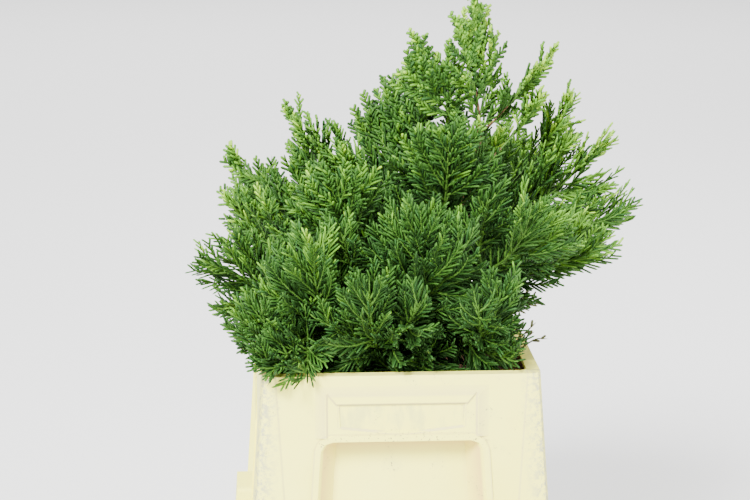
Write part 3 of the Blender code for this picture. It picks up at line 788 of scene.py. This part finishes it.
def place_spray(growths, stand, length, slender, level, mass, space):
    """Grows a spray that fits, and leaves out the twigs and shoots that would leave the space."""
    length = fitting_length(stand, length, mass, space)
    if length < SHORTEST_SPRAY:
        return
    chance = mass.random
    spray = FlatSpray(chance, length, slender, UPSWEEP * float(stand.lateral[2]))
    rib = stand.place(spray.rib)
    taper = np.array([RIB_THICK * (1.0 - 0.45 * i / RIB_STEPS) for i in range(RIB_STEPS)] + [0.0])
    growths["dry" if mass.kind == "dry" else "rib"].add(rib[None], taper[None], stand.normal, 4)
    reach = mass.reach
    thick = spray.blend(SHOOT_THICK)
    twig_levels = [level + TIP_LEVEL * share + chance.gauss(0.0, 0.04) for share in spray.twig_shares]
    twigs_good = np.zeros(0, bool)
    if spray.twigs:
        twigs = stand.place(spray.twigs)
        twigs_good = space.allows(twigs[:, -1], mass, reach) & space.allows(twigs[:, 2], mass, reach)
        radii = np.array([thick * 0.95, thick * 0.95, thick * 0.95, 0.0])
        names = np.array([colour_name(value, chance, mass.kind) for value in twig_levels])
        for name in sorted(set(names)):
            chosen = twigs_good & (names == name)
            growths[name].add(twigs[chosen], np.tile(radii, (chosen.sum(), 1)), stand.normal, 4)
    shoots = stand.place(spray.shoots)
    parents = np.array(spray.parents)
    good = space.allows(shoots[:, -1], mass, reach)
    if mass.kind == "dry":
        good &= np.array([chance.random() < DRY_SHARE for _ in shoots])
    on_twig = parents >= 0
    if on_twig.any():
        good[on_twig] &= twigs_good[parents[on_twig]]
    shoot_names = []
    for parent, share in zip(spray.parents, spray.shoot_shares):
        base = twig_levels[parent] if parent >= 0 else level + TIP_LEVEL * share
        shoot_names.append(colour_name(base + chance.gauss(0.0, 0.075), chance, mass.kind))
    shoot_names = np.array(shoot_names)
    for name in sorted(set(shoot_names)):
        chosen = good & (shoot_names == name)
        radii = np.tile([thick * 0.92, thick * 0.90, 0.0], (chosen.sum(), 1))
        growths[name].add(shoots[chosen], radii, stand.normal, 4)


COLOURS = {
    "rib": ((0.056, 0.132, 0.016), (0.024, 0.070, 0.007)),
    "lime": ((0.245, 0.430, 0.028), (0.104, 0.245, 0.012)),
    "bright": ((0.096, 0.230, 0.018), (0.032, 0.112, 0.007)),
    "mid": ((0.037, 0.106, 0.013), (0.010, 0.046, 0.004)),
    "deep": ((0.018, 0.057, 0.008), (0.004, 0.021, 0.002)),
    "dry": ((0.075, 0.080, 0.026), (0.028, 0.028, 0.010)),
    "blue": ((0.027, 0.088, 0.018), (0.009, 0.040, 0.006)),
}


def colour_name(level, chance, kind="plain"):
    """Lime at the upper tips, bright below them, then mid green, with deep green inside and low, where it is
    partly painted shade.
    """
    if kind == "dry" and chance.random() < 0.8:
        return "dry"
    if level > 0.68:
        return "lime"
    if level > 0.46:
        return "bright"
    if chance.random() < 0.07:
        return "blue"
    if level > 0.24:
        return "mid"
    return "deep"


SPRAY_SPACING = 0.0066
INNER_SHARE = 0.40
TIP_LEVEL = 0.20
SIDE_LIGHT = 0.7
SPRAY_ANGLE = (math.radians(46), math.radians(26))
SPRAY_SIZE = (1.75, 0.85)
SHORTEST_SPRAY = 0.014
REACH = 1.9
TURN_SPREAD = {"low": 0.66, "plain": 0.66, "slim": 0.66, "leader": 0.30, "dry": 0.66}
SIDE_STEMS = {"low": 6, "plain": 3, "slim": 2, "leader": 3, "dry": 2}
SIDE_ANGLE = {
    "low": math.radians(36),
    "plain": math.radians(30),
    "slim": math.radians(28),
    "leader": math.radians(20),
    "dry": math.radians(24),
}
SPRAY_SCALE = {"low": 1.0, "plain": 1.0, "slim": 0.90, "leader": 0.70, "dry": 1.0}
SPACING_SCALE = {"low": 0.72, "plain": 1.0, "slim": 1.25, "leader": 1.2, "dry": 2.4}
SIDE_REACH = (0.60, 0.88)
STEM_STEPS = 12
STEM_REACH = 0.85
FAN_FOOT = Vector((0.012, 0.0, 0.25))
FAN_TURN = 0.75
LOW_EDGE = 0.395
RIM_LIFT = (-0.42, 0.15)
LOW_LIFT = (-0.35, 0.30)
SHADE = 0.20
BARE_FEET = {"top_side": 0.42, "right_high": 0.25}
DRY_MASS = "right_low"
DRY_SHARE = 0.45
DRY_TWIGS = (
    ((0.105, -0.075, 0.3190), (0.110, -0.080, 0.3370), (0.120, -0.085, 0.3500), (0.134, -0.090, 0.3660)),
    ((0.104, -0.082, 0.3190), (0.109, -0.086, 0.3350), (0.118, -0.090, 0.3460), (0.132, -0.094, 0.3580)),
    ((0.102, -0.065, 0.3190), (0.108, -0.070, 0.3380), (0.116, -0.074, 0.3520), (0.126, -0.078, 0.3610)),
    ((0.105, -0.088, 0.3190), (0.111, -0.093, 0.3340), (0.121, -0.098, 0.3440), (0.132, -0.101, 0.3520),
     (0.144, -0.104, 0.3530)),
)
DRY_TWIG_RADIUS = 0.0013
DRY_STUBS = 3
DRY_STUB_LENGTH = (0.004, 0.008)


def facing_normal(direction, point, jitter):
    """A spray's plane faces out of the crown, and to the front or the back."""
    outward = point - CROWN_HEART
    outward = Vector((outward.x * 0.6, outward.y, 0.0)).normalized()
    facing = Vector((0.0, -1.0 if point.y < 0.06 else 1.0, 0.15))
    normal = outward * 0.8 + facing * 0.6 + jitter
    return (normal - direction * normal.dot(direction)).normalized()


def fanned(forward, point, number):
    """Where a stem points to the front or the back, its sprays fan out and up from the soil.

    Close over the rim only every third of them does.
    """
    fan = Vector((point.x - FAN_FOOT.x, 0.0, point.z - FAN_FOOT.z)).normalized()
    share = FAN_TURN * min(1.0, max(0.0, (abs(forward.y) - 0.3) / 0.45))
    if point.z < LOW_EDGE and number % 3:
        share *= 0.15
    return forward.lerp(fan, share).normalized()


def side_stems(mass):
    """Branches that leave the stem to its left and right in turn, and bend back to its heading."""
    line, chance = mass.line, mass.random
    count = SIDE_STEMS[mass.kind]
    stems = []
    for i in range(count):
        bare = BARE_FEET.get(mass.name, 0.0)
        share = bare + 0.04 + (0.62 - bare) * (i + chance.uniform(0.2, 0.8)) / count
        place = line.length * share
        foot = line.at(place)
        forward = fanned(line.direction(place), foot, i)
        side = forward.cross(facing_normal(forward, foot + forward * 0.03, Vector())).normalized()
        turn = (math.pi if i % 2 else 0.0) + chance.gauss(0.0, TURN_SPREAD[mass.kind])
        around = Matrix.Rotation(turn, 3, forward) @ side
        angle = SIDE_ANGLE[mass.kind] * chance.uniform(0.75, 1.3)
        onward = fanned(line.direction(min(place + line.length * 0.3, line.length)), foot, i)
        heading = forward * math.cos(angle) + around * math.sin(angle)
        length = line.length * (1.0 - share) * chance.uniform(*SIDE_REACH)
        bend = foot + heading * length * 0.5
        tip = bend + (heading * 0.6 + onward * 0.4).normalized() * length * 0.5
        points = []
        for step in range(STEM_STEPS + 1):
            t = step / STEM_STEPS
            points.append(foot * (1 - t) ** 2 + bend * 2 * t * (1 - t) + tip * t * t)
        stems.append(Line(points, [0.0014 - 0.0006 * step / STEM_STEPS for step in range(STEM_STEPS + 1)]))
    return stems


def grow_stem(line, mass, space, growths):
    """A spray ends the stem, and the others stand on it to the left and right in turn."""
    chance = mass.random
    start = line.length - min(mass.size * 1.5, line.length * 0.8)
    plan = [(start, 0.0, 0.0, line.length - start, 1.0)]
    count = max(int(line.length / (SPRAY_SPACING * SPACING_SCALE[mass.kind])), 7)
    for i in range(count):
        share = 0.02 + 0.90 * (i + chance.uniform(0.2, 0.8)) / count
        if line is mass.line and share < BARE_FEET.get(mass.name, 0.0):
            continue
        angle = SPRAY_ANGLE[0] + (SPRAY_ANGLE[1] - SPRAY_ANGLE[0]) * share
        angle *= chance.uniform(0.75, 1.2)
        size = mass.size * (SPRAY_SIZE[0] + (SPRAY_SIZE[1] - SPRAY_SIZE[0]) * share)
        size *= chance.uniform(0.75, 1.2) * SPRAY_SCALE[mass.kind] * (1.0 + 0.30 * mass.frontal * share)
        room = line.length * (1.0 - share) / math.cos(angle)
        turn = (math.pi if i % 2 else 0.0) + chance.gauss(0.0, TURN_SPREAD[mass.kind])
        plan.append((line.length * share, turn, angle, min(size, max(room, mass.size * 0.7)), share))
    for number, (place, turn, angle, size, outer) in enumerate(plan):
        foot = line.at(place)
        forward = fanned(line.direction(place), foot, number)
        side = forward.cross(facing_normal(forward, foot + forward * size * 0.4, Vector())).normalized()
        around = Matrix.Rotation(turn, 3, forward) @ side
        direction = forward * math.cos(angle) + around * math.sin(angle)
        lift = 0.25 * (1.0 - forward.z) + 0.05
        if mass.kind == "low" and outer < 0.7:
            lift = chance.uniform(*(RIM_LIFT if foot.z < LOW_EDGE and number % 3 else LOW_LIFT))
        direction = (direction + UP * (lift if angle else 0.0)).normalized()
        jitter = Vector([chance.gauss(0.0, 0.22) for _ in range(3)])
        normal = facing_normal(direction, foot + direction * size * 0.5, jitter)
        height = foot.z + direction.z * size * 0.7
        slender = 1.55 - (height - HEIGHT) / 0.18 + foot.x * 1.4 - foot.y * 1.2
        slender = max(0.0, min(1.0, slender)) * chance.uniform(0.85, 1.0)
        bends = 1.0 if angle else 0.25
        stand = Stand(foot, direction, normal, chance.uniform(-1.5, 3.0) * bends,
                      chance.uniform(-8.0, 10.0), chance.gauss(0.0, 5.0))
        # The colour level: lighter higher up and further out along the stem, partly the young growth's lime
        # and partly painted light on the top with painted shade low down and inside; foot.x and SIDE_LIGHT
        # paint light towards the right and the sides, and SHADE paints shade in the crown's middle.
        level = (height - HEIGHT) / 0.34 * 0.60 + outer * 0.14 - 0.02 + foot.x * 0.14
        level += max(0.0, abs(foot.x) - 0.07) * SIDE_LIGHT
        level -= SHADE * math.exp(-((foot.x - 0.04) / 0.08) ** 2)
        level += chance.gauss(0.0, 0.075)
        place_spray(growths, stand, size, slender, level, mass, space)


def grow_mass(mass, space, growths):
    stems = side_stems(mass)
    growths["rib"].add(*stem_path(mass.stem), UP, 5)
    grow_stem(mass.line, mass, space, growths)
    for stem in stems:
        length = stem.length
        for stop in range(STEM_STEPS, 3, -1):
            point = stem.at(stem.length * stop / STEM_STEPS)
            if space.allows(np.array([point]), mass, mass.reach * STEM_REACH)[0]:
                length = stem.length * stop / STEM_STEPS
                break
        stem = stem.part(0.0, length, STEM_STEPS + 1)
        growths["rib"].add(*stem_path(stem), UP, 4)
        grow_stem(stem, mass, space, growths)


def grow_dry_twigs(growths, mass):
    """The few dry twigs that stand over the rim beside a mass, with short stubs near their tips."""
    chance = mass.random
    for points in DRY_TWIGS:
        line = Line(smooth_points(points, 4), [DRY_TWIG_RADIUS] * (4 * len(points) - 3))
        growths["dry"].add(*stem_path(line), UP, 5)
        stubs = []
        for i in range(DRY_STUBS):
            place = line.length * (0.50 + 0.46 * (i + 0.5) / DRY_STUBS)
            foot, forward = line.at(place), line.direction(place)
            side = forward.cross(Vector((0.0, -1.0, 0.2))).normalized() * (1 if i % 2 else -1)
            heading = (forward + side * chance.uniform(0.45, 0.75)).normalized()
            size = chance.uniform(*DRY_STUB_LENGTH)
            stubs.append([foot, foot + heading * size * SHOOT_SHOULDER, foot + heading * size])
        radii = np.tile([DRY_TWIG_RADIUS * 0.9, DRY_TWIG_RADIUS * 0.9, 0.0], (len(stubs), 1))
        growths["dry"].add(np.array(stubs), radii, Vector((0.0, -1.0, 0.0)), 4)


def stem_path(line):
    """A stem's path and radii, drawn out to nothing at its tip."""
    stops = [line.length * i / STEM_STEPS for i in range(STEM_STEPS + 1)]
    radii = [line.radius(stop) * (1.0 - 0.4 * stop / line.length) for stop in stops]
    radii[-1] = 0.0
    return np.array([[line.at(stop) for stop in stops]]), np.array([radii])


# Pieces


def add_object(name, mesh, material, nodes):
    obj = bpy.data.objects.new(name, mesh)
    bpy.context.scene.collection.objects.link(obj)
    mesh.materials.clear()
    mesh.materials.append(material)
    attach(obj, "root")
    if nodes:
        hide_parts(*nodes)
    return obj


def bark_limb(bm, line, sides, relief):
    """A round limb made from a bevelled curve, with its skin pushed in and out by noise."""
    curve = bpy.data.curves.new("limb", "CURVE")
    curve.dimensions = "3D"
    curve.bevel_depth = 1.0
    curve.bevel_resolution = (sides - 4) // 2
    curve.use_fill_caps = True
    stops = [line.length * i / int(line.length / BARK_STEP) for i in range(int(line.length / BARK_STEP) + 1)]
    spline = curve.splines.new("POLY")
    spline.points.add(len(stops) - 1)
    for point, stop in zip(spline.points, stops):
        point.co = (*line.at(stop), 1.0)
        point.radius = line.radius(stop)
    guide = bpy.data.objects.new("limb", curve)
    bpy.context.scene.collection.objects.link(guide)
    mesh = bpy.data.meshes.new_from_object(guide.evaluated_get(bpy.context.evaluated_depsgraph_get()))
    bpy.data.objects.remove(guide, do_unlink=True)
    limb = bmesh.new()
    limb.from_mesh(mesh)
    bmesh.ops.remove_doubles(limb, verts=limb.verts, dist=1e-6)
    bmesh.ops.recalc_face_normals(limb, faces=limb.faces)
    limb.normal_update()
    for vert in limb.verts:
        place = Vector((vert.co.x * BARK_GRAIN, vert.co.y * BARK_GRAIN, vert.co.z * BARK_GRAIN * 0.3))
        vert.co += vert.normal * (noise.noise(place) - 0.6) * relief
    limb.to_mesh(mesh)
    limb.free()
    bm.from_mesh(mesh)
    bpy.data.meshes.remove(mesh)


def add_wood(name, limbs, sides, relief, bark, nodes):
    bm = bmesh.new()
    for line in limbs:
        bark_limb(bm, line, sides, relief)
    mesh = bpy.data.meshes.new(name)
    bm.to_mesh(mesh)
    bm.free()
    mesh.shade_smooth()
    add_object(name, mesh, bark, nodes)


def make_wood(trunk, boughs, bark):
    add_wood("trunk_bark", [trunk], 20, TRUNK_RELIEF, bark, ["trunk"])
    add_wood("bough_bark", [line for _, line in boughs], 10, BOUGH_RELIEF, bark,
             ["bough_" + name for name, _ in boughs])


BARK_STEP = 0.0025
BARK_GRAIN = 420.0
TRUNK_RELIEF = 0.0007
BOUGH_RELIEF = 0.0002


def make_soil(soil):
    """The soil's crumbly top, on a block that fills the container under it."""
    half_x = TOP_HALF_WIDTH + FLARE * (HEIGHT - SOIL_TOP) - WALL - GAP * 2
    half_y = TOP_HALF_DEPTH + FLARE * (HEIGHT - SOIL_TOP) - WALL - GAP * 2
    bm = bmesh.new()
    bmesh.ops.create_grid(bm, x_segments=90, y_segments=120, size=1.0)
    for vert in bm.verts:
        vert.co.x *= half_x
        vert.co.y *= half_y
    top = list(bm.faces)
    grown = bmesh.ops.extrude_face_region(bm, geom=top)
    lower = [item for item in grown["geom"] if isinstance(item, bmesh.types.BMVert)]
    bmesh.ops.translate(bm, verts=lower, vec=(0, 0, -0.012))
    for vert in bm.verts:
        if vert.co.z > -0.006:
            rough = noise.noise(vert.co * 90.0) * 0.0022 + noise.noise(vert.co * 300.0) * 0.0012
            vert.co.z += rough - 0.0030
        vert.co.z += SOIL_TOP
    bmesh.ops.recalc_face_normals(bm, faces=bm.faces)
    mesh = bpy.data.meshes.new("soil_top")
    bm.to_mesh(mesh)
    bm.free()
    mesh.shade_smooth()
    add_object("soil_top", mesh, soil, ["soil"])


def make_container(plastic):
    """A copy of the container's solid with its edges softened as moulding leaves them."""
    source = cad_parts["container"]
    bm = bmesh.new()
    bm.from_mesh(source.data)
    bmesh.ops.remove_doubles(bm, verts=bm.verts, dist=1e-5)
    bmesh.ops.dissolve_limit(bm, angle_limit=math.radians(1.0), verts=bm.verts, edges=bm.edges)
    mesh = bpy.data.meshes.new("moulded_container")
    bm.to_mesh(mesh)
    bm.free()
    obj = add_object("moulded_container", mesh, plastic, ["container"])
    bevel = obj.modifiers.new("soft edges", "BEVEL")
    bevel.width = 0.0012
    bevel.segments = 3
    bevel.limit_method = "ANGLE"
    bevel.angle_limit = math.radians(25)
    mesh.shade_smooth()
    weighted = obj.modifiers.new("weighted normals", "WEIGHTED_NORMAL")
    weighted.keep_sharp = True


def step(edge, value):
    """Climbs softly from 0 to 1 where the value passes the edge."""
    t = min(1.0, max(0.0, (value - edge) / LABEL_SOFTNESS + 0.5))
    return t * t * (3.0 - 2.0 * t)


def label_height(across, drop):
    """How far the label panel stands proud: a pad, its sunk field, and the pocket with a bowed foot."""
    across = abs(across)
    field_top = LABEL_TOP - max(0.0, across - LABEL_SHOULDER) * LABEL_SHOULDER_SLOPE
    pocket_foot = LABEL_FOOT - LABEL_BOW * across
    field = step(field_top, drop) * (1.0 - step(LABEL_RIB, across))
    pocket = step(LABEL_TOP, drop) * (1.0 - step(LABEL_HALF, across)) * (1.0 - step(pocket_foot, drop))
    edge = min((LABEL_REACH[0] - across) / LABEL_FADE, (drop - LABEL_REACH[1]) / LABEL_FADE, 1.0)
    edge = max(0.0, edge) ** 2
    return edge * LABEL_PAD - (1.0 - edge) * LABEL_TUCK - field * LABEL_FIELD - pocket * LABEL_POCKET


# The label panel, from the wall's middle and from the rim: its reach, ribs, field and pocket.
LABEL_REACH = (0.084, 0.005, 0.058)
LABEL_FADE = 0.014
LABEL_PAD = 0.0016
LABEL_TUCK = 0.0002
LABEL_RIB = 0.0685
LABEL_TOP = 0.0265
LABEL_SHOULDER = 0.0600
LABEL_SHOULDER_SLOPE = 1.2
LABEL_HALF = 0.0575
LABEL_FOOT = 0.0545
LABEL_BOW = 0.115
LABEL_FIELD = 0.0015
LABEL_POCKET = 0.0012
LABEL_SOFTNESS = 0.0012
LABEL_BACK = 0.0026
LABEL_PROBE = 0.0008
LABEL_SEGMENTS = (210, 66)


def make_label_panels(plastic):
    """The panels for a label in the front and back walls, moulded from a fine grid."""
    bm = bmesh.new()
    for turn in (0.0, math.pi):
        sheet = bmesh.new()
        bmesh.ops.create_grid(sheet, x_segments=LABEL_SEGMENTS[0], y_segments=LABEL_SEGMENTS[1], size=1.0)
        crease = sheet.verts.layers.float.new("crease")
        pocket = sheet.verts.layers.float.new("pocket")
        grown = bmesh.ops.extrude_face_region(sheet, geom=list(sheet.faces))
        behind = {item for item in grown["geom"] if isinstance(item, bmesh.types.BMVert)}
        reach, top, foot = LABEL_REACH
        for vert in sheet.verts:
            across = vert.co.x * reach
            drop = top + (foot - top) * (0.5 - vert.co.y / 2)
            proud = -LABEL_BACK if vert in behind else label_height(across, drop)
            vert.co = (across, -(TOP_HALF_DEPTH + FLARE * drop + proud), HEIGHT - drop)
            # The slope of the panel's relief, kept as crease, is what the plastic paints as shade.
            sides = (label_height(across - LABEL_PROBE, drop) - label_height(across + LABEL_PROBE, drop),
                     label_height(across, drop - LABEL_PROBE) - label_height(across, drop + LABEL_PROBE))
            vert[crease] = min(1.0, max(abs(side) for side in sides) / LABEL_PROBE)
            inside = (abs(across) < LABEL_HALF) and LABEL_TOP < drop < LABEL_FOOT - LABEL_BOW * abs(across)
            vert[pocket] = 1.0 if inside else 0.0
        bmesh.ops.recalc_face_normals(sheet, faces=sheet.faces)
        bmesh.ops.rotate(sheet, verts=sheet.verts, cent=(0, 0, 0), matrix=Matrix.Rotation(turn, 3, "Z"))
        mesh = bpy.data.meshes.new("label_panel")
        sheet.to_mesh(mesh)
        sheet.free()
        bm.from_mesh(mesh)
        bpy.data.meshes.remove(mesh)
    mesh = bpy.data.meshes.new("label_panels")
    bm.to_mesh(mesh)
    bm.free()
    mesh.shade_smooth()
    add_object("label_panels", mesh, plastic, ["container"])


def make_stage():
    bm = bmesh.new()
    bmesh.ops.create_grid(bm, x_segments=1, y_segments=1, size=40.0)
    mesh = bpy.data.meshes.new("floor")
    bm.to_mesh(mesh)
    bm.free()
    floor = bpy.data.objects.new("floor", mesh)
    bpy.context.scene.collection.objects.link(floor)
    mesh.materials.append(plain_material("pale_floor", (0.78, 0.78, 0.78), 0.9))
    world = bpy.data.worlds.new("studio")
    bpy.context.scene.world = world
    world.use_nodes = True
    world.node_tree.nodes["Background"].inputs["Color"].default_value = (1.0, 1.0, 1.0, 1.0)
    world.node_tree.nodes["Background"].inputs["Strength"].default_value = 0.66
    lamps = (
        ("key", (-1.2, -2.3, 2.5), (0.0, 0.0, 0.42), 1.0, 430.0),
        ("fill", (2.4, -1.4, 1.5), (0.0, 0.0, 0.42), 1.8, 110.0),
        ("front", (-1.7, -2.7, 1.3), (0.0, 0.0, 0.30), 0.9, 30.0),
        ("rim", (0.6, 1.8, 2.4), (0.0, 0.0, 0.42), 1.2, 60.0),
        ("backdrop", (0.0, 5.0, 4.0), (0.0, 5.0, 0.0), 5.0, 520.0),
    )
    for name, place, target, size, power in lamps:
        light = bpy.data.lights.new(name, "AREA")
        light.shape = "SQUARE"
        light.size = size
        light.energy = power
        lamp = bpy.data.objects.new(name, light)
        bpy.context.scene.collection.objects.link(lamp)
        lamp.location = place
        aim = Vector(target) - Vector(place)
        lamp.rotation_euler = aim.to_track_quat("-Z", "Y").to_euler()


def make_camera():
    data = bpy.data.cameras.new("camera")
    data.lens = CAMERA_LENS
    data.sensor_width = 36.0
    camera = bpy.data.objects.new("camera", data)
    bpy.context.scene.collection.objects.link(camera)
    camera.location = CAMERA_PLACE
    camera.rotation_euler = (math.pi / 2 - CAMERA_PITCH, 0.0, CAMERA_YAW)
    bpy.context.scene.camera = camera


def main():
    make_camera()
    make_stage()
    bark, soil, plastic = bark_material(), soil_material(), plastic_material()
    trunk = trunk_line()
    leader_start = trunk.points[-1] + trunk.direction(trunk.length) * GAP
    leader = Line(
        smooth_points((leader_start, leader_start.lerp(Vector(LEADER_TIP), 0.5), LEADER_TIP), 4),
        [TRUNK_TIP_RADIUS] * 9,
    )
    top = trunk.part(fork_distance(trunk, LEADER_FOLIAGE_FOOT), trunk.length, 7)
    crown_line = Line(top.points + leader.points, top.radii + leader.radii)
    masses, limbs, boughs = [Mass("leader", crown_line, leader, LEADER_RADIUS, LEADER_SEED,
                   LEADER_FULLNESS, "leader")], [], []
    for name, tip, fork_height, habit, radius, seed, fullness in LIMBS:
        line = limb_line(trunk, tip, fork_height, habit)
        entry = max(line.length - radius * FOLIAGE_LENGTH, line.length * 0.24)
        bough = line.part(0.0, entry, 7)
        boughs.append((name, line.part(0.0, entry + 0.012, 12)))
        limbs.append(bough)
        leafy = line.part(entry * INNER_SHARE, line.length, 13)
        stem = line.part(entry, line.length, 13)
        kind = "low" if habit in ("low", "drooping") else "plain"
        if tip[2] > SLIM_HEIGHT:
            kind = "slim"
        if name == DRY_MASS:
            kind = "dry"
        masses.append(Mass(name, leafy, stem, radius, seed, fullness, kind, habit in ("drooping", "arching")))
    limbs.append(trunk)
    samples = []
    for line in limbs:
        stops = [line.length * i / 30 for i in range(31)]
        centres = np.array([line.at(stop) for stop in stops])
        samples.append((centres, np.array([line.radius(stop) for stop in stops])))
    space = Space(masses, samples)
    growths = {name: Growth() for name in COLOURS}
    for mass in masses:
        grow_mass(mass, space, growths)
        if mass.name == DRY_MASS:
            grow_dry_twigs(growths, mass)
    foliage_nodes = ["foliage_" + mass.name for mass in masses]
    for name, growth in growths.items():
        light, dark = COLOURS[name]
        material = foliage_material("foliage_" + name, light, dark)
        for number, part in enumerate(growth.parts, start=1):
            piece = f"sprays_{name}_{number}"
            add_object(piece, growth_mesh(piece, part), material, foliage_nodes)
    make_wood(trunk, boughs, bark)
    make_soil(soil)
    make_container(plastic)
    make_label_panels(plastic)


main()
